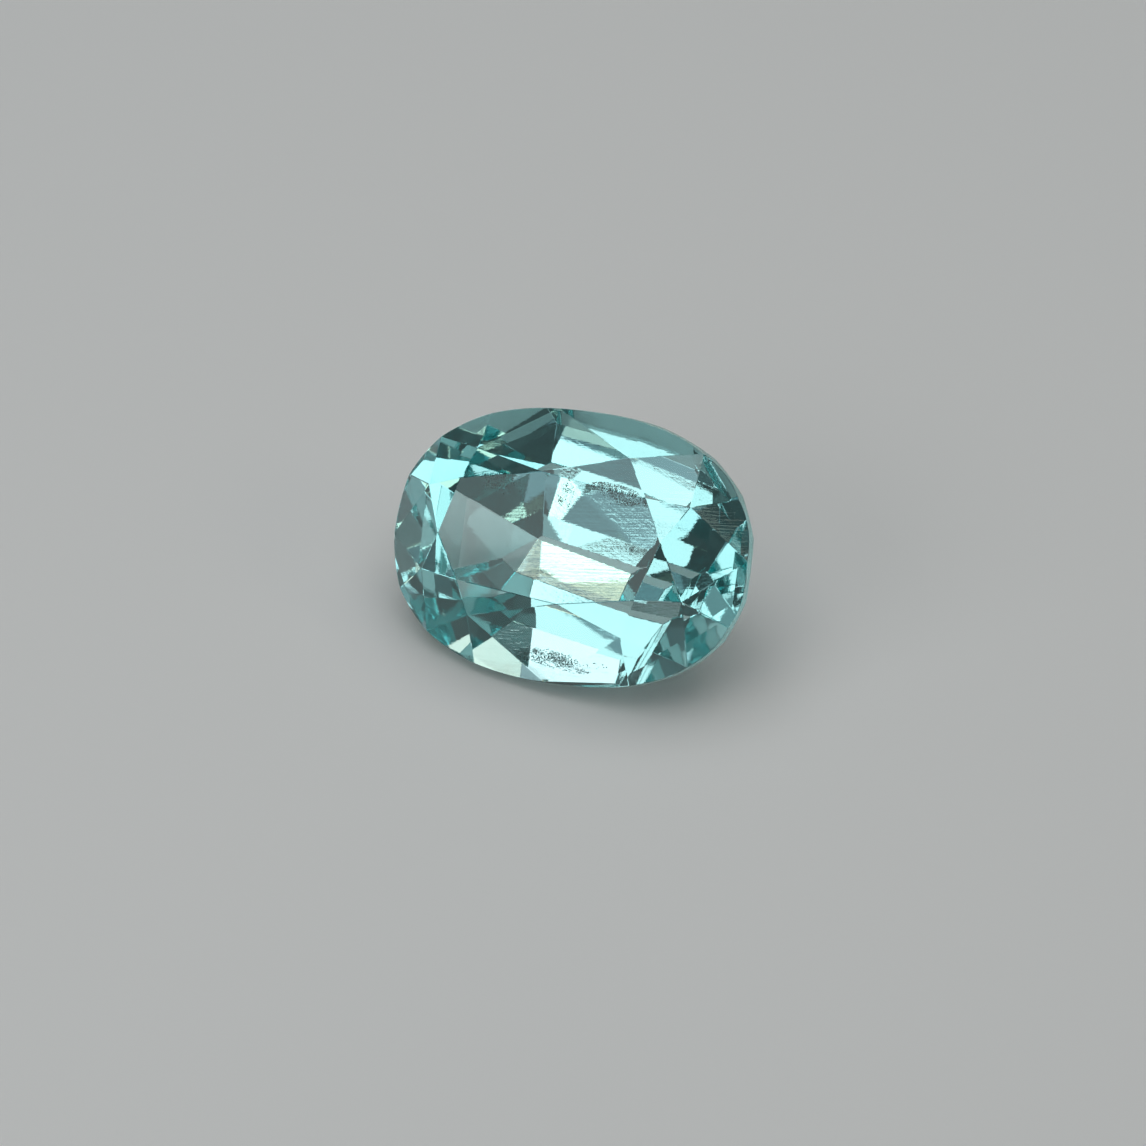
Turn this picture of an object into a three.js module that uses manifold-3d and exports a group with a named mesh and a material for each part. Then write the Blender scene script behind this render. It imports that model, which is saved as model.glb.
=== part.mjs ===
// An oval, faceted kunzite gemstone, lying on a bench on one of its long pavilion facets.
//
// The stone is cut in its own frame: X along the oval, Y across it, Z up through the table, with
// z = 0 halfway up the girdle. It starts as an oval column. Every facet is then ground off it
// as a flat, and the finished stone is laid down on the facet that carries it.
// Lengths are in millimetres and angles in degrees.

import * as THREE from 'three';
import { mergeVertices } from 'three/addons/utils/BufferGeometryUtils.js';
import Module from 'manifold-3d';

// Outline, a superellipse: power 2 is an ellipse and a higher power has squarer shoulders.
const LENGTH = 13.75;
const WIDTH = 10;
const OUTLINE_POWER = 2.35;
const OUTLINE_STEPS = 96;
const GIRDLE_THICKNESS = 0.5;

// Crown: eight kites, eight stars and sixteen upper girdle facets around an eight-sided table.
const CROWN_HEIGHT = 2.15;
const STAR_HEIGHT = 0.7 * CROWN_HEIGHT;
const TABLE_HALF_LENGTH = 4.3;
const TABLE_HALF_WIDTH = 2.35;
const TABLE_POWER = 3.2;
const TABLE_CENTRE = new THREE.Vector2(-0.05, 0.3);

// The crown was cut by eye. It is turned against the outline, its kites on the long sides are
// drawn towards the -X end, and the two corners at the back of the table lie further apart.
const CROWN_TURN = 2.5;
const KITE_SWAY = 4;
const BACK_CORNER_SPREAD = 4;

// Pavilion: a row of steep facets under the girdle, then two rows in eight columns, down to a
// keel line. The keel is turned and shifted a little against the oval.
const PAVILION_DEPTH = 5.2;
const KEEL_HALF_LENGTH = 2.2;
const KEEL_TURN = -8;
const KEEL_CENTRE = new THREE.Vector2(0, -0.2);
const RIM_FACETS = 16;
const RIM_ANGLE = 62;
const RIM_WIDTH = 0.3;
const MIDDLE_ANGLE = 48;

// Each column's compass direction, and how far in its middle facet reaches, measured level.
const END_REACH = 2.0;
const CORNER_REACH = 2.3;
const BACK_REACH = 2.3;
const FRONT_REACH = 3.2;
const REST_DIRECTION = 258;
const COLUMNS = [
  { direction: 0, reach: END_REACH },
  { direction: 55, reach: 2.6 },
  { direction: 80, reach: BACK_REACH },
  { direction: 125, reach: CORNER_REACH },
  { direction: 180, reach: END_REACH },
  { direction: 235, reach: FRONT_REACH },
  { direction: REST_DIRECTION, reach: FRONT_REACH },
  { direction: 305, reach: CORNER_REACH },
];

// Two old nicks in the girdle: direction around the outline, height, and the size of the spall.
const NICKS = [
  { around: 183, height: 0.12, radius: 0.3, bite: 0.1 },
  { around: 47, height: 0.25, radius: 0.3, bite: 0.09 },
];

// The turn of the laid-down stone about the vertical.
const LIE_TURN = -16;

// How far a grinding block reaches: larger than the whole stone.
const BLOCK = 30;

const GIRDLE_TOP = GIRDLE_THICKNESS / 2;
const GIRDLE_BOTTOM = -GIRDLE_THICKNESS / 2;
const TABLE_TOP = GIRDLE_TOP + CROWN_HEIGHT;
const KEEL_LEVEL = GIRDLE_BOTTOM - PAVILION_DEPTH;

const wasm = await Module();
wasm.setup();

const radians = THREE.MathUtils.degToRad;

// Solids: three.js geometry in, and geometry out again after the cuts.

function toSolid(geometry) {
  const bare = geometry.clone();
  bare.deleteAttribute('normal');
  bare.deleteAttribute('uv');
  const merged = mergeVertices(bare, 1e-3);
  return new wasm.Manifold(new wasm.Mesh({
    numProp: 3,
    vertProperties: new Float32Array(merged.attributes.position.array),
    triVerts: new Uint32Array(merged.index.array),
  }));
}

function toGeometry(solid) {
  const mesh = solid.getMesh();
  const geometry = new THREE.BufferGeometry();
  geometry.setAttribute('position', new THREE.BufferAttribute(new Float32Array(mesh.vertProperties), 3));
  geometry.setIndex(new THREE.BufferAttribute(new Uint32Array(mesh.triVerts), 1));
  geometry.computeVertexNormals();
  return geometry;
}

// Outline.

function ovalPoint(angle, halfLength, halfWidth, power) {
  const c = Math.cos(angle);
  const s = Math.sin(angle);
  return new THREE.Vector2(
    halfLength * Math.sign(c) * Math.abs(c) ** (2 / power),
    halfWidth * Math.sign(s) * Math.abs(s) ** (2 / power),
  );
}

function outlinePoint(degrees) {
  return ovalPoint(radians(degrees), LENGTH / 2, WIDTH / 2, OUTLINE_POWER);
}

function outlineTangent(degrees) {
  const step = 0.01;
  return outlinePoint(degrees + step).sub(outlinePoint(degrees - step)).normalize();
}

// The outline's furthest reach in a compass direction.
function outlineReach(degrees) {
  const dual = OUTLINE_POWER / (OUTLINE_POWER - 1);
  const x = Math.abs((LENGTH / 2) * Math.cos(radians(degrees)));
  const y = Math.abs((WIDTH / 2) * Math.sin(radians(degrees)));
  return (x ** dual + y ** dual) ** (1 / dual);
}

function ovalColumn() {
  const shape = new THREE.Shape();
  for (let i = 0; i < OUTLINE_STEPS; i += 1) {
    const point = outlinePoint((i + 0.5) * 360 / OUTLINE_STEPS);
    if (i === 0) shape.moveTo(point.x, point.y);
    else shape.lineTo(point.x, point.y);
  }
  shape.closePath();
  const height = TABLE_TOP - KEEL_LEVEL;
  const column = new THREE.ExtrudeGeometry(shape, { depth: height, bevelEnabled: false });
  column.translate(0, 0, KEEL_LEVEL);
  return column;
}

// Facets, each a THREE.Plane whose normal points out of the stone.

function facetThrough(a, b, c) {
  const plane = new THREE.Plane().setFromCoplanarPoints(a, b, c);
  const middle = new THREE.Vector3(0, 0, 0);
  if (plane.distanceToPoint(middle) > 0) plane.negate();
  return plane;
}

// Where the foot of a kite meets the girdle. The crown's eighths of a turn count from the +X end.
function kiteDirection(eighth) {
  const direction = eighth * 360 / 8;
  return direction + CROWN_TURN + KITE_SWAY * Math.sin(radians(direction));
}

function cornerDirection(eighth) {
  const direction = eighth * 360 / 8;
  const isBackCorner = eighth === 1 || eighth === 3;
  const spread = isBackCorner ? Math.sign(direction - 90) * BACK_CORNER_SPREAD : 0;
  return direction + CROWN_TURN + spread;
}

function crownFacets() {
  const starLevel = new THREE.Plane(new THREE.Vector3(0, 0, 1), -(GIRDLE_TOP + STAR_HEIGHT));
  const corners = [];
  const feet = [];
  const kites = [];
  for (let i = 0; i < 8; i += 1) {
    const corner = ovalPoint(
      radians(cornerDirection(i)), TABLE_HALF_LENGTH, TABLE_HALF_WIDTH, TABLE_POWER,
    ).add(TABLE_CENTRE);
    const foot = outlinePoint(kiteDirection(i));
    const along = outlineTangent(kiteDirection(i));
    corners.push(new THREE.Vector3(corner.x, corner.y, TABLE_TOP));
    feet.push(new THREE.Vector3(foot.x, foot.y, GIRDLE_TOP));
    const beside = new THREE.Vector3(foot.x + along.x, foot.y + along.y, GIRDLE_TOP);
    kites.push(facetThrough(corners[i], feet[i], beside));
  }
  const facets = [...kites];
  for (let i = 0; i < 8; i += 1) {
    const next = (i + 1) % 8;
    const tip = meetingPoint(kites[i], kites[next], starLevel);
    const middle = outlinePoint((kiteDirection(i) + kiteDirection(i + 1)) / 2);
    const hem = new THREE.Vector3(middle.x, middle.y, GIRDLE_TOP);
    facets.push(facetThrough(corners[i], corners[next], tip));
    facets.push(facetThrough(tip, feet[i], hem));
    facets.push(facetThrough(tip, hem, feet[next]));
  }
  return facets;
}

// The point that three planes share.
function meetingPoint(a, b, c) {
  const rows = new THREE.Matrix3().set(
    a.normal.x, a.normal.y, a.normal.z,
    b.normal.x, b.normal.y, b.normal.z,
    c.normal.x, c.normal.y, c.normal.z,
  );
  return new THREE.Vector3(-a.constant, -b.constant, -c.constant).applyMatrix3(rows.invert());
}

// A pavilion facet that faces a compass direction, at an angle to the girdle plane, through the
// point that lies `reach` out and `level` up.
function slopingFacet(direction, angle, reach, level) {
  const flat = new THREE.Vector2(Math.cos(radians(direction)), Math.sin(radians(direction)));
  const normal = new THREE.Vector3(
    flat.x * Math.sin(radians(angle)), flat.y * Math.sin(radians(angle)), -Math.cos(radians(angle)),
  );
  const point = new THREE.Vector3(flat.x * reach, flat.y * reach, level);
  return new THREE.Plane().setFromNormalAndCoplanarPoint(normal, point);
}

function rimFacets() {
  return Array.from({ length: RIM_FACETS }, (_, i) => {
    const direction = i * 360 / RIM_FACETS;
    return slopingFacet(direction, RIM_ANGLE, outlineReach(direction), GIRDLE_BOTTOM);
  });
}

function middleFacet({ direction }) {
  const reach = outlineReach(direction) - RIM_WIDTH;
  const level = GIRDLE_BOTTOM - RIM_WIDTH * Math.tan(radians(RIM_ANGLE));
  return slopingFacet(direction, MIDDLE_ANGLE, reach, level);
}

// The facet between a column's middle facet and the nearer end of the keel.
function keelFacet({ direction, reach }) {
  const flat = new THREE.Vector2(Math.cos(radians(direction)), Math.sin(radians(direction)));
  const keel = new THREE.Vector2(Math.cos(radians(KEEL_TURN)), Math.sin(radians(KEEL_TURN)));
  const side = Math.sign(flat.dot(keel));
  const end = keel.multiplyScalar(side * KEEL_HALF_LENGTH).add(KEEL_CENTRE);
  const inner = outlineReach(direction) - RIM_WIDTH - reach;
  const level = GIRDLE_BOTTOM
    - RIM_WIDTH * Math.tan(radians(RIM_ANGLE))
    - reach * Math.tan(radians(MIDDLE_ANGLE));
  const slope = Math.atan2(level - KEEL_LEVEL, inner - flat.dot(end));
  return slopingFacet(direction, THREE.MathUtils.radToDeg(slope), inner, level);
}

// Grinding: everything outside the facet's plane goes.
function grind(stone, facet) {
  const block = new THREE.BoxGeometry(BLOCK, BLOCK, BLOCK);
  const turn = new THREE.Quaternion().setFromUnitVectors(new THREE.Vector3(0, 0, 1), facet.normal);
  block.translate(0, 0, BLOCK / 2 - facet.constant);
  block.applyQuaternion(turn);
  return stone.subtract(toSolid(block));
}

function nick({ around, height, radius, bite }) {
  const edge = outlinePoint(around);
  const out = outlineTangent(around).rotateAround(new THREE.Vector2(), -Math.PI / 2);
  const spall = new THREE.IcosahedronGeometry(radius, 1);
  spall.translate(
    edge.x + out.x * (radius - bite), edge.y + out.y * (radius - bite), height,
  );
  return toSolid(spall);
}

function cutStone() {
  const facets = [
    ...crownFacets(),
    ...rimFacets(),
    ...COLUMNS.map(middleFacet),
    ...COLUMNS.map(keelFacet),
  ];
  const faceted = facets.reduce(grind, toSolid(ovalColumn()));
  return NICKS.reduce((stone, each) => stone.subtract(nick(each)), faceted);
}

// Laying down: the carrying facet turns to face straight down at z = 0.
function layDown(geometry) {
  const rest = middleFacet({ direction: REST_DIRECTION });
  const down = new THREE.Vector3(0, 0, -1);
  geometry.applyQuaternion(new THREE.Quaternion().setFromUnitVectors(rest.normal, down));
  geometry.rotateZ(radians(LIE_TURN));
  geometry.computeBoundingBox();
  const { min, max } = geometry.boundingBox;
  geometry.translate(-(min.x + max.x) / 2, -(min.y + max.y) / 2, -min.z);
  return geometry;
}

const object = new THREE.Group();
const gemstone = new THREE.Mesh(
  layDown(toGeometry(cutStone())),
  new THREE.MeshStandardMaterial({ color: 0x9fd8d2, roughness: 0.03, metalness: 0, flatShading: true }),
);
gemstone.name = 'gemstone';
object.add(gemstone);

export default object;
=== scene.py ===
"""An oval, faceted kunzite gemstone lying on a pale studio floor. Lengths are in metres."""

import math
import random

import bmesh
import bpy
from mathutils import Matrix, Vector
from mathutils.bvhtree import BVHTree


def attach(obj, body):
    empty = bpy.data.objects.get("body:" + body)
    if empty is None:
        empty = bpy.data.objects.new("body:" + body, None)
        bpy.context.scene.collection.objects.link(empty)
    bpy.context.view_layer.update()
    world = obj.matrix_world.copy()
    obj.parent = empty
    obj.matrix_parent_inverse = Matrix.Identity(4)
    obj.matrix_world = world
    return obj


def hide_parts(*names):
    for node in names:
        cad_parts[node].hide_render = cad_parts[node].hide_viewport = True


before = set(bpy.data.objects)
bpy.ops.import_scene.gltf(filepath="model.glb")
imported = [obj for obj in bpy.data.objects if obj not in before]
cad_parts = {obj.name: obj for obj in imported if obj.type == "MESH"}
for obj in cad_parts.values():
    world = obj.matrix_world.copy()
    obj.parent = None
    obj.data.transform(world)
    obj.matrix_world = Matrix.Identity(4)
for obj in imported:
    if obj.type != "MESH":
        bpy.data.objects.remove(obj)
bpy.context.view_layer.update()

MM = 0.001
WHITE = (1.0, 1.0, 1.0)


# The stone as it lies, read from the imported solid.

NORMAL_DIGITS = 2
GIRDLE_SQUARENESS = 0.02


def table_normal(mesh):
    """The direction that the largest facet, the table, faces."""
    facets = {}
    for face in mesh.polygons:
        key = tuple(round(part, NORMAL_DIGITS) for part in face.normal)
        facets[key] = facets.get(key, Vector()) + face.normal * face.area
    return max(facets.values(), key=lambda total: total.length).normalized()


def is_girdle(normal):
    """The girdle stands square to the table."""
    return abs(normal.dot(STONE_TABLE)) < GIRDLE_SQUARENESS


def girdle_points(mesh):
    girdle = [face for face in mesh.polygons if is_girdle(face.normal)]
    return [mesh.vertices[index].co for face in girdle for index in face.vertices]


def middle_of(points):
    """The middle of the box round the points: the oval is the same on both sides of it."""
    low = Vector([min(point[axis] for point in points) for axis in range(3)])
    high = Vector([max(point[axis] for point in points) for axis in range(3)])
    return (low + high) / 2


def long_axis(points, middle):
    """From the middle to the outline's furthest point, in the girdle plane."""
    furthest = max(points, key=lambda point: (point - middle).length) - middle
    return (furthest - STONE_TABLE * furthest.dot(STONE_TABLE)).normalized()


CAD_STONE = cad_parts["gemstone"]
STONE_TABLE = table_normal(CAD_STONE.data)
STONE_MIDDLE = middle_of(girdle_points(CAD_STONE.data))
STONE_LONG = long_axis(girdle_points(CAD_STONE.data), STONE_MIDDLE)
STONE_ACROSS = STONE_TABLE.cross(STONE_LONG)


# The photograph's view. Pixels count in its 1146-pixel frame, and angles are in degrees.

FRAME_PX = 1146
PX_PER_MM = 27.461
PX = MM / PX_PER_MM
CAMERA_ELEVATION = 44.33
CAMERA_DISTANCE = 0.4
STONE_AT_PX = (573.1, 547.8)

CAMERA_TILT = math.radians(CAMERA_ELEVATION)
CAMERA_BACK = Vector((0.0, -math.cos(CAMERA_TILT), math.sin(CAMERA_TILT)))
CAMERA_UP = Vector((0.0, math.sin(CAMERA_TILT), math.cos(CAMERA_TILT)))
CAMERA_RIGHT = Vector((1.0, 0.0, 0.0))


def beside_middle(pixel):
    """From the middle of the frame to a pixel, in the plane of the frame."""
    across = (pixel[0] - FRAME_PX / 2) * PX
    down = (pixel[1] - FRAME_PX / 2) * PX
    return CAMERA_RIGHT * across - CAMERA_UP * down


CAMERA_AIM = STONE_MIDDLE - beside_middle(STONE_AT_PX)
CAMERA_PLACE = CAMERA_AIM + CAMERA_BACK * CAMERA_DISTANCE


def link(name, data):
    obj = bpy.data.objects.new(name, data)
    bpy.context.scene.collection.objects.link(obj)
    return obj


# Materials. Each has one principled shader for its surface, and the helpers add nodes to its
# tree.

def opaque(colour):
    return (*colour, 1.0)


def new_surface(name):
    material = bpy.data.materials.new(name)
    material.use_nodes = True
    tree = material.node_tree
    tree.nodes.clear()
    out = tree.nodes.new("ShaderNodeOutputMaterial")
    shader = tree.nodes.new("ShaderNodeBsdfPrincipled")
    tree.links.new(shader.outputs["BSDF"], out.inputs["Surface"])
    return material, shader, out


def stone_coordinates(tree, size):
    """The place in the stone's own frame, divided by a size for each of its axes."""
    turn = Matrix((STONE_LONG, STONE_ACROSS, STONE_TABLE))
    place = tree.nodes.new("ShaderNodeTexCoord")
    turned = tree.nodes.new("ShaderNodeMapping")
    turned.inputs["Rotation"].default_value = turn.to_euler()
    scaled = tree.nodes.new("ShaderNodeMapping")
    scaled.inputs["Scale"].default_value = [1 / part for part in size]
    tree.links.new(place.outputs["Object"], turned.inputs["Vector"])
    tree.links.new(turned.outputs["Vector"], scaled.inputs["Vector"])
    return scaled.outputs["Vector"]


def noise(tree, size, detail):
    texture = tree.nodes.new("ShaderNodeTexNoise")
    texture.inputs["Scale"].default_value = 1.0
    texture.inputs["Detail"].default_value = detail
    tree.links.new(stone_coordinates(tree, size), texture.inputs["Vector"])
    return texture.outputs["Fac"]


def face_mask(tree, name):
    mask = tree.nodes.new("ShaderNodeAttribute")
    mask.attribute_name = name
    return mask.outputs["Fac"]


def bump(tree, height, distance, below=None):
    relief = tree.nodes.new("ShaderNodeBump")
    relief.inputs["Strength"].default_value = 1.0
    relief.inputs["Distance"].default_value = distance
    tree.links.new(height, relief.inputs["Height"])
    if below is not None:
        tree.links.new(below, relief.inputs["Normal"])
    return relief.outputs["Normal"]


def stretch(tree, value, from_range, to_range):
    """The value, with one range of it stretched over another and cut off at its ends."""
    mapped = tree.nodes.new("ShaderNodeMapRange")
    mapped.inputs["From Min"].default_value = from_range[0]
    mapped.inputs["From Max"].default_value = from_range[1]
    mapped.inputs["To Min"].default_value = to_range[0]
    mapped.inputs["To Max"].default_value = to_range[1]
    tree.links.new(value, mapped.inputs["Value"])
    return mapped.outputs["Result"]


# Kunzite (spodumene): its index, and how light fades and turns blue-green inside it.
REFRACTIVE_INDEX = 1.665
ABSORPTION_COLOUR = (0.23, 0.865, 0.87)
ABSORPTION_DENSITY = 60.0

# The ground girdle, and faint hazy patches on the polished facets.
GIRDLE_ROUGHNESS = 0.35
HAZE_ROUGHNESS = 0.02
HAZE_SIZE = 0.9 * MM
HAZE_DETAIL = 6.0
HAZE_RANGE = (0.5, 0.72)

# Long polishing lines along the stone, and a slight ripple of its surface.
LINE_SPACING = 0.07 * MM
LINE_LENGTH = 3.0 * MM
LINE_HEIGHT = 0.0006 * MM
LINE_DETAIL = 3.0
PEEL_SIZE = 0.16 * MM
PEEL_HEIGHT = 0.0004 * MM
PEEL_DETAIL = 2.0


def finish_roughness(tree):
    """Bright polish with faint hazy patches on the facets, and a ground girdle."""
    haze = noise(tree, (HAZE_SIZE,) * 3, HAZE_DETAIL)
    patches = stretch(tree, haze, HAZE_RANGE, (0.0, HAZE_ROUGHNESS))
    blend = tree.nodes.new("ShaderNodeMix")
    tree.links.new(face_mask(tree, "girdle"), blend.inputs["Factor"])
    tree.links.new(patches, blend.inputs["A"])
    blend.inputs["B"].default_value = GIRDLE_ROUGHNESS
    return blend.outputs["Result"]


def kunzite():
    """Clear stone that colours the light by how far it goes through it."""
    material, glass, out = new_surface("kunzite")
    tree = material.node_tree
    glass.inputs["Base Color"].default_value = opaque(WHITE)
    glass.inputs["IOR"].default_value = REFRACTIVE_INDEX
    glass.inputs["Transmission Weight"].default_value = 1.0
    tree.links.new(finish_roughness(tree), glass.inputs["Roughness"])
    lines = noise(tree, (LINE_LENGTH, LINE_SPACING, LINE_LENGTH), LINE_DETAIL)
    peel = noise(tree, (PEEL_SIZE,) * 3, PEEL_DETAIL)
    lined = bump(tree, lines, LINE_HEIGHT)
    tree.links.new(bump(tree, peel, PEEL_HEIGHT, lined), glass.inputs["Normal"])
    absorb = tree.nodes.new("ShaderNodeVolumeAbsorption")
    absorb.inputs["Color"].default_value = opaque(ABSORPTION_COLOUR)
    absorb.inputs["Density"].default_value = ABSORPTION_DENSITY
    tree.links.new(absorb.outputs["Volume"], out.inputs["Volume"])
    return material


def plain(name, colour, roughness):
    material, body, _ = new_surface(name)
    body.inputs["Base Color"].default_value = opaque(colour)
    body.inputs["Roughness"].default_value = roughness
    return material


# The stone. Its facet junctions are worn to narrow flats. The mesh is in millimetres while it
# is cut, and so are these lengths. Angles are in degrees.

JUNCTION_WIDTH = 0.03
JUNCTION_MIN_ANGLE = 2.5
MERGE_DISTANCE = 0.003
SAME_FACET_ANGLE = 0.6
CORNER_SLACK = 0.01
CUT_TOLERANCE = 1e-5


def clean_solid(node):
    """The node's mesh with each facet as one face, in millimetres."""
    solid = bmesh.new()
    solid.from_mesh(node.data)
    bmesh.ops.scale(solid, vec=(1 / MM,) * 3, verts=solid.verts)
    bmesh.ops.remove_doubles(solid, verts=solid.verts, dist=MERGE_DISTANCE)
    bmesh.ops.dissolve_degenerate(solid, edges=solid.edges, dist=MERGE_DISTANCE)
    bmesh.ops.dissolve_limit(
        solid, angle_limit=math.radians(SAME_FACET_ANGLE),
        verts=solid.verts, edges=solid.edges)
    bmesh.ops.recalc_face_normals(solid, faces=solid.faces)
    return solid


def junction_planes(solid):
    """A shallow cutting plane along every sharp junction of two facets. A plane that would
    also cut off something that stands further out is left out."""
    planes = []
    for edge in solid.edges:
        if len(edge.link_faces) != 2:
            continue
        if not edge.is_convex:
            continue
        first, second = edge.link_faces
        angle = first.normal.angle(second.normal)
        if angle < math.radians(JUNCTION_MIN_ANGLE):
            continue
        if is_girdle(first.normal) and is_girdle(second.normal):
            continue
        normal = (first.normal + second.normal).normalized()
        middle = (edge.verts[0].co + edge.verts[1].co) / 2
        depth = JUNCTION_WIDTH / 2 * math.tan(angle / 2)
        point = middle - normal * depth
        reach = max((vertex.co - point).dot(normal) for vertex in solid.verts)
        if reach < depth + CORNER_SLACK:
            planes.append((point, normal))
    return planes


def open_edges(solid):
    return sum(1 for edge in solid.edges if not edge.is_manifold)


def slice_off(solid, point, normal):
    """The solid without what lies beyond a plane. A cut so close to a corner that its face
    can't be closed is left out, and the junction there stays sharp."""
    trial = solid.copy()
    result = bmesh.ops.bisect_plane(
        trial, geom=trial.verts[:] + trial.edges[:] + trial.faces[:], dist=CUT_TOLERANCE,
        plane_co=point, plane_no=normal, clear_outer=True)
    rim = [item for item in result["geom_cut"] if isinstance(item, bmesh.types.BMEdge)]
    open_rim = [edge for edge in rim if edge.is_boundary]
    if open_rim:
        bmesh.ops.edgeloop_fill(trial, edges=open_rim)
    kept, dropped = (solid, trial) if open_edges(trial) else (trial, solid)
    dropped.free()
    return kept


def mark_girdle(mesh):
    """A face mask that tells the ground girdle from the polished facets."""
    mask = mesh.attributes.new("girdle", "FLOAT", "FACE")
    for face in mesh.polygons:
        mask.data[face.index].value = 1.0 if is_girdle(face.normal) else 0.0


def polished_stone():
    solid = clean_solid(CAD_STONE)
    for point, normal in junction_planes(solid):
        solid = slice_off(solid, point, normal)
    bmesh.ops.recalc_face_normals(solid, faces=solid.faces)
    print("stone: faces", len(solid.faces), "open edges", open_edges(solid))
    for face in solid.faces:
        face.smooth = is_girdle(face.normal)
    bmesh.ops.scale(solid, vec=(MM,) * 3, verts=solid.verts)
    mesh = bpy.data.meshes.new("stone")
    solid.to_mesh(mesh)
    solid.free()
    mark_girdle(mesh)
    mesh.materials.append(kunzite())
    return link("stone", mesh)


stone = polished_stone()
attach(stone, "root")
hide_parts("gemstone")


# The pale bloom of the ground girdle, a thin closed shell that lies just outside it.

BLOOM_GAP = 0.002 * MM
BLOOM_THICKNESS = 0.001 * MM
BLOOM_COLOUR = (0.74, 0.94, 0.90)
BLOOM_ROUGHNESS = 0.6
BLOOM_GRAIN = 0.05 * MM
BLOOM_DETAIL = 4.0
BLOOM_RANGE = (0.35, 0.65)
BLOOM_COVER = (0.2, 0.4)


def frosted(name, colour):
    """A fine matt bloom that lets some of what is behind it through."""
    material, body, _ = new_surface(name)
    tree = material.node_tree
    body.inputs["Base Color"].default_value = opaque(colour)
    body.inputs["Roughness"].default_value = BLOOM_ROUGHNESS
    grain = noise(tree, (BLOOM_GRAIN,) * 3, BLOOM_DETAIL)
    cover = stretch(tree, grain, BLOOM_RANGE, BLOOM_COVER)
    tree.links.new(cover, body.inputs["Alpha"])
    return material


def connected_faces(first):
    """A face and all that hang together with it."""
    found = {first}
    waiting = [first]
    while waiting:
        for edge in waiting.pop().edges:
            for face in edge.link_faces:
                if face not in found:
                    found.add(face)
                    waiting.append(face)
    return found


def girdle_bloom():
    shell = bmesh.new()
    shell.from_mesh(stone.data)
    polished = [face for face in shell.faces if not is_girdle(face.normal)]
    bmesh.ops.delete(shell, geom=polished, context="FACES")
    band = connected_faces(max(shell.faces, key=lambda face: face.calc_area()))
    scraps = [face for face in shell.faces if face not in band]
    bmesh.ops.delete(shell, geom=scraps, context="FACES")
    pinched = [vertex for vertex in shell.verts if not vertex.is_manifold]
    for vertex in pinched:
        bmesh.utils.vert_separate(vertex, [])
    shell.normal_update()
    for vertex in shell.verts:
        vertex.co += vertex.normal * BLOOM_GAP
    bmesh.ops.solidify(shell, geom=shell.faces[:], thickness=BLOOM_THICKNESS)
    bmesh.ops.recalc_face_normals(shell, faces=shell.faces)
    print("girdle bloom: faces", len(shell.faces), "open edges", open_edges(shell))
    mesh = bpy.data.meshes.new("girdle_bloom")
    shell.to_mesh(mesh)
    shell.free()
    mesh.materials.append(frosted("girdle_bloom", BLOOM_COLOUR))
    obj = link("girdle_bloom", mesh)
    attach(obj, "root")


girdle_bloom()


# Inclusions, each a flat cloud of tiny flakes inside the stone. A cloud is placed by the pixel
# where it is seen, and its flakes lie along the sight lines as the crown bends them.

MOTTLE_ROUGHNESS = 0.7
MOTTLE_DETAIL = 4.0
MOTTLE_RANGE = (0.38, 0.62)

# A flake's shape. Its thickness and the ranges are multiples of its radius, and its greatest
# tilt is in radians.
FLAKE_CORNERS = 6
FLAKE_THICKNESS = 0.3
FLAKE_TILT = 0.5
FLAKE_WIDTHS = (0.4, 0.9)
FLAKE_CORNER_REACH = (0.6, 1.25)

# How the flakes of a cloud differ, as multiples of its `radius` and its `depth`, and how wide
# a clump is, as a share of the cloud.
FLAKE_SIZES = (0.5, 1.3)
FLAKE_DEPTHS = (0.85, 1.15)
CLUMP_SPREAD = 0.2


def mottled(name, dark, pale, size):
    """Rough mineral matter, mottled between two colours."""
    material, body, _ = new_surface(name)
    tree = material.node_tree
    body.inputs["Roughness"].default_value = MOTTLE_ROUGHNESS
    ramp = tree.nodes.new("ShaderNodeValToRGB")
    for stop, position, colour in zip(ramp.color_ramp.elements, MOTTLE_RANGE, (dark, pale)):
        stop.position = position
        stop.color = opaque(colour)
    tree.links.new(noise(tree, (size,) * 3, MOTTLE_DETAIL), ramp.inputs["Fac"])
    tree.links.new(ramp.outputs["Color"], body.inputs["Base Color"])
    return material


def stone_tree():
    mesh = stone.data
    return BVHTree.FromPolygons(
        [vertex.co for vertex in mesh.vertices], [face.vertices for face in mesh.polygons])


STONE_TREE = stone_tree()


def enter_stone(pixel):
    """Where the sight line through a pixel enters the stone, and which way it bends there."""
    target = CAMERA_AIM + beside_middle(pixel)
    sight = (target - CAMERA_PLACE).normalized()
    point, normal, _, _ = STONE_TREE.ray_cast(CAMERA_PLACE, sight)
    slant = -sight.dot(normal)
    squeeze = 1 / REFRACTIVE_INDEX
    inner = math.sqrt(1 - squeeze ** 2 * (1 - slant ** 2))
    return point, (sight * squeeze + normal * (squeeze * slant - inner)).normalized()


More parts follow.
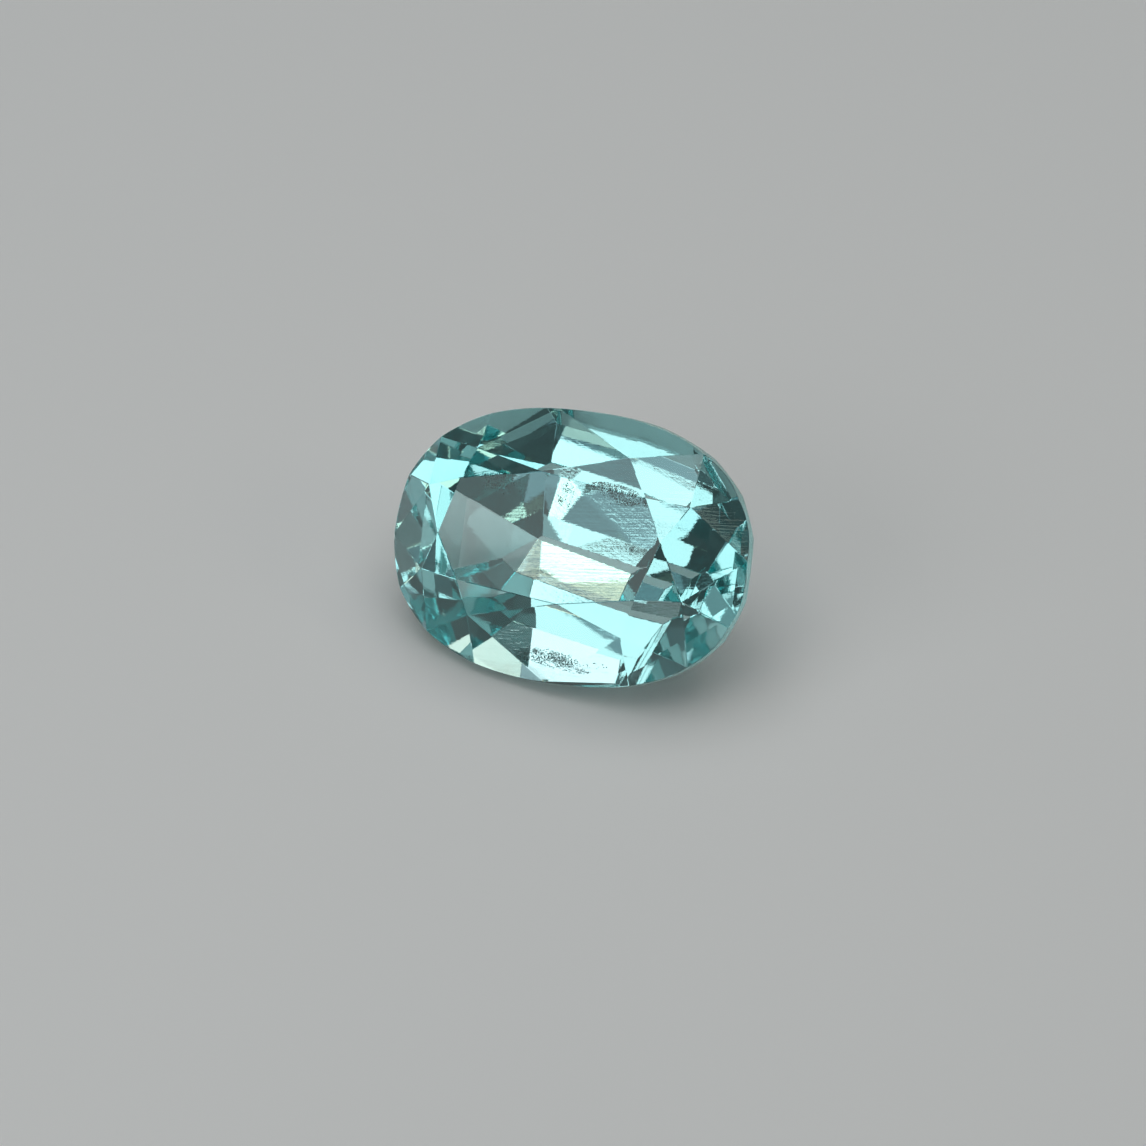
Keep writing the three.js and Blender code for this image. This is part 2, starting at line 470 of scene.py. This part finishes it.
def add_flake(points, faces, place, radius, dice):
    """A small irregular plate that lies roughly along the table."""
    lie = STONE_TABLE.to_track_quat("Z", "Y").to_matrix()
    turn = Matrix.Rotation(dice.uniform(0, math.tau), 3, "Z")
    tip = Matrix.Rotation(dice.uniform(-FLAKE_TILT, FLAKE_TILT), 3, "X")
    width = radius * dice.uniform(*FLAKE_WIDTHS)
    pose = lie @ turn @ tip @ Matrix.Diagonal((radius, width, radius * FLAKE_THICKNESS))
    first = len(points)
    top = first + FLAKE_CORNERS
    bottom = top + 1
    for corner in range(FLAKE_CORNERS):
        angle = math.tau * corner / FLAKE_CORNERS
        edge = Vector((math.cos(angle), math.sin(angle), 0))
        points.append(place + pose @ edge * dice.uniform(*FLAKE_CORNER_REACH))
    points.append(place + pose @ Vector((0, 0, 1)))
    points.append(place + pose @ Vector((0, 0, -1)))
    for corner in range(FLAKE_CORNERS):
        here = first + corner
        after = first + (corner + 1) % FLAKE_CORNERS
        faces.append((here, after, top))
        faces.append((after, here, bottom))


def inside_oval(along, across):
    return along ** 2 + across ** 2 < 1


def scatter(flakes, clumps, dice):
    """Places in an oval of unit size, gathered round a few random clumps."""
    centres = []
    while len(centres) < clumps:
        spot = dice.uniform(-1, 1), dice.uniform(-1, 1)
        if inside_oval(*spot):
            centres.append(spot)
    places = []
    while len(places) < flakes:
        centre = dice.choice(centres)
        spot = dice.gauss(centre[0], CLUMP_SPREAD), dice.gauss(centre[1], CLUMP_SPREAD)
        if inside_oval(*spot):
            places.append(spot)
    return places


def veil(name, finish, middle, half_length, half_width, slope, depth, flakes, radius, clumps):
    """A clumpy oval cloud. Its middle, half length and half width are in pixels, `slope` is
    how far it points down to the right, in degrees, and `depth` and `radius` are in
    millimetres."""
    dice = random.Random(name)
    points = []
    faces = []
    turn = math.radians(slope)
    for along, across in scatter(flakes, clumps, dice):
        x = along * half_length
        y = across * half_width
        pixel = (
            middle[0] + x * math.cos(turn) - y * math.sin(turn),
            middle[1] + x * math.sin(turn) + y * math.cos(turn),
        )
        point, inwards = enter_stone(pixel)
        place = point + inwards * depth * MM * dice.uniform(*FLAKE_DEPTHS)
        add_flake(points, faces, place, radius * MM * dice.uniform(*FLAKE_SIZES), dice)
    mesh = bpy.data.meshes.new(name)
    mesh.from_pydata(points, [], faces)
    mesh.materials.append(finish)
    obj = link(name, mesh)
    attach(obj, "root")


FLAKE_FINISH = mottled("inclusion_grey", (0.04, 0.11, 0.11), (0.15, 0.32, 0.31), 0.08 * MM)
SPECK_FINISH = mottled("inclusion_speck", (0.01, 0.03, 0.03), (0.04, 0.09, 0.09), 0.10 * MM)

veil("fingerprint_upper", FLAKE_FINISH, middle=(615, 494), half_length=31, half_width=10,
     slope=14, depth=0.35, flakes=1100, radius=0.022, clumps=16)
veil("fingerprint_lower", FLAKE_FINISH, middle=(551, 658), half_length=28, half_width=9,
     slope=12, depth=0.30, flakes=1200, radius=0.022, clumps=14)
veil("fringe_lower", SPECK_FINISH, middle=(562, 665), half_length=30, half_width=6,
     slope=14, depth=0.28, flakes=220, radius=0.026, clumps=18)
veil("ripple_left", FLAKE_FINISH, middle=(503, 485), half_length=24, half_width=11,
     slope=8, depth=0.45, flakes=170, radius=0.028, clumps=12)
veil("ripple_right", FLAKE_FINISH, middle=(566, 494), half_length=15, half_width=8,
     slope=100, depth=0.45, flakes=130, radius=0.028, clumps=10)
veil("specks_lower", SPECK_FINISH, middle=(596, 667), half_length=16, half_width=5,
     slope=8, depth=0.30, flakes=16, radius=0.030, clumps=8)
veil("specks_crown", SPECK_FINISH, middle=(650, 452), half_length=40, half_width=22,
     slope=10, depth=0.35, flakes=18, radius=0.020, clumps=18)


# Stage, lights and camera. Angles are in degrees.

FLOOR_COLOUR = (0.8, 0.8, 0.79)
FLOOR_ROUGHNESS = 0.9
FLOOR_GAP = 0.02 * MM
FLOOR_HALF = 2.0

# The room, from the horizon to the zenith: elevations, each with its colour.
HORIZON_COLOUR = (0.123, 0.135, 0.14)
ROOM_COLOUR = (0.07, 0.07, 0.07)
CEILING_COLOUR = (0.27, 0.31, 0.335)
WALLS = ((12, ROOM_COLOUR), (46, ROOM_COLOUR), (54, CEILING_COLOUR))

SOFTBOX_DISTANCE = 0.2
NO_GRID = 180
STRIP_DISTANCE = 0.35
STRIP_SPREAD = 50
WARM = (1.0, 0.92, 0.76)
CREAM = (1.0, 0.84, 0.60)
AMBER = (1.0, 0.68, 0.36)
COOL = (0.88, 0.97, 1.0)

# The camera's sensor in millimetres, and how near and how far it sees, in metres.
SENSOR_WIDTH = 36.0
CLIP_NEAR = 0.01
CLIP_FAR = 10.0

# How often light may bounce: it is reflected many times inside the stone.
LIGHT_BOUNCES = 32


def floor():
    mesh = bpy.data.meshes.new("floor")
    corners = [(-1, -1), (1, -1), (1, 1), (-1, 1)]
    mesh.from_pydata(
        [(x * FLOOR_HALF, y * FLOOR_HALF, -FLOOR_GAP) for x, y in corners], [], [(0, 1, 2, 3)])
    mesh.materials.append(plain("floor_paper", FLOOR_COLOUR, FLOOR_ROUGHNESS))
    return link("floor", mesh)


def room():
    """The studio round the stone, with a colour for each elevation. It meets the far floor
    in one tone, and its dim walls end in a soft blue-grey ceiling."""
    studio = bpy.data.worlds.new("studio")
    bpy.context.scene.world = studio
    studio.use_nodes = True
    tree = studio.node_tree
    direction = tree.nodes.new("ShaderNodeTexCoord")
    split = tree.nodes.new("ShaderNodeSeparateXYZ")
    walls = tree.nodes.new("ShaderNodeValToRGB")
    walls.color_ramp.interpolation = "EASE"
    walls.color_ramp.elements[0].color = opaque(HORIZON_COLOUR)
    walls.color_ramp.elements[1].color = opaque(CEILING_COLOUR)
    for elevation, colour in WALLS:
        stop = walls.color_ramp.elements.new(math.sin(math.radians(elevation)))
        stop.color = opaque(colour)
    tree.links.new(direction.outputs["Generated"], split.inputs["Vector"])
    tree.links.new(split.outputs["Z"], walls.inputs["Fac"])
    tree.links.new(walls.outputs["Color"], tree.nodes["Background"].inputs["Color"])


def softbox(
        name, azimuth, elevation, wide, high, brightness,
        colour=WHITE, distance=SOFTBOX_DISTANCE, spread=NO_GRID):
    """A panel that faces the stone. `wide` and `high` are how large it looks from there, and
    `azimuth` counts from the right of the view, through its back. A panel with a grid has a
    narrower `spread`, and is as bright as one without when seen straight on."""
    half_spread = math.radians(spread / 2)
    grid = 1 - half_spread / math.tan(half_spread)
    data = bpy.data.lights.new(name, "AREA")
    data.shape = "RECTANGLE"
    data.size = 2 * distance * math.tan(math.radians(wide / 2))
    data.size_y = 2 * distance * math.tan(math.radians(high / 2))
    data.energy = brightness * grid * math.pi * data.size * data.size_y
    data.spread = math.radians(spread)
    data.color = colour
    panel = link(name, data)
    level = math.cos(math.radians(elevation))
    towards = Vector((
        level * math.cos(math.radians(azimuth)),
        level * math.sin(math.radians(azimuth)),
        math.sin(math.radians(elevation)),
    ))
    panel.location = STONE_MIDDLE + towards * distance
    panel.rotation_mode = "QUATERNION"
    panel.rotation_quaternion = towards.to_track_quat("Z", "Y")
    panel.visible_camera = False


def camera():
    data = bpy.data.cameras.new("camera")
    data.sensor_width = SENSOR_WIDTH
    data.lens = data.sensor_width * CAMERA_DISTANCE / (FRAME_PX * PX)
    data.clip_start = CLIP_NEAR
    data.clip_end = CLIP_FAR
    obj = link("camera", data)
    obj.location = CAMERA_PLACE
    obj.rotation_mode = "QUATERNION"
    obj.rotation_quaternion = CAMERA_BACK.to_track_quat("Z", "Y")
    bpy.context.scene.camera = obj


def look():
    """The picture's contrast, and enough bounces for the light inside the stone to leave."""
    scene = bpy.context.scene
    scene.view_settings.view_transform = "Standard"
    scene.view_settings.look = "Medium High Contrast"
    scene.cycles.max_bounces = LIGHT_BOUNCES
    scene.cycles.glossy_bounces = LIGHT_BOUNCES
    scene.cycles.transmission_bounces = LIGHT_BOUNCES


floor()
room()
softbox("softbox_overhead", azimuth=200, elevation=88, wide=56, high=56, brightness=0.9)
softbox("softbox_left", azimuth=214, elevation=35, wide=34, high=24, brightness=1.0)
softbox("softbox_front", azimuth=246, elevation=28, wide=28, high=26, brightness=0.26,
        colour=COOL)
softbox("softbox_behind", azimuth=116, elevation=60, wide=16, high=16, brightness=0.8)
softbox("softbox_corner", azimuth=34, elevation=58, wide=22, high=14, brightness=0.8,
        colour=WARM)
softbox("softbox_right", azimuth=336, elevation=35, wide=13, high=12, brightness=1.2,
        colour=WARM)
softbox("softbox_cream", azimuth=219, elevation=62, wide=14, high=10, brightness=0.7,
        colour=AMBER)
softbox("strip_back", azimuth=84, elevation=6, wide=36, high=9, brightness=1.4,
        colour=CREAM, distance=STRIP_DISTANCE, spread=STRIP_SPREAD)
camera()
look()
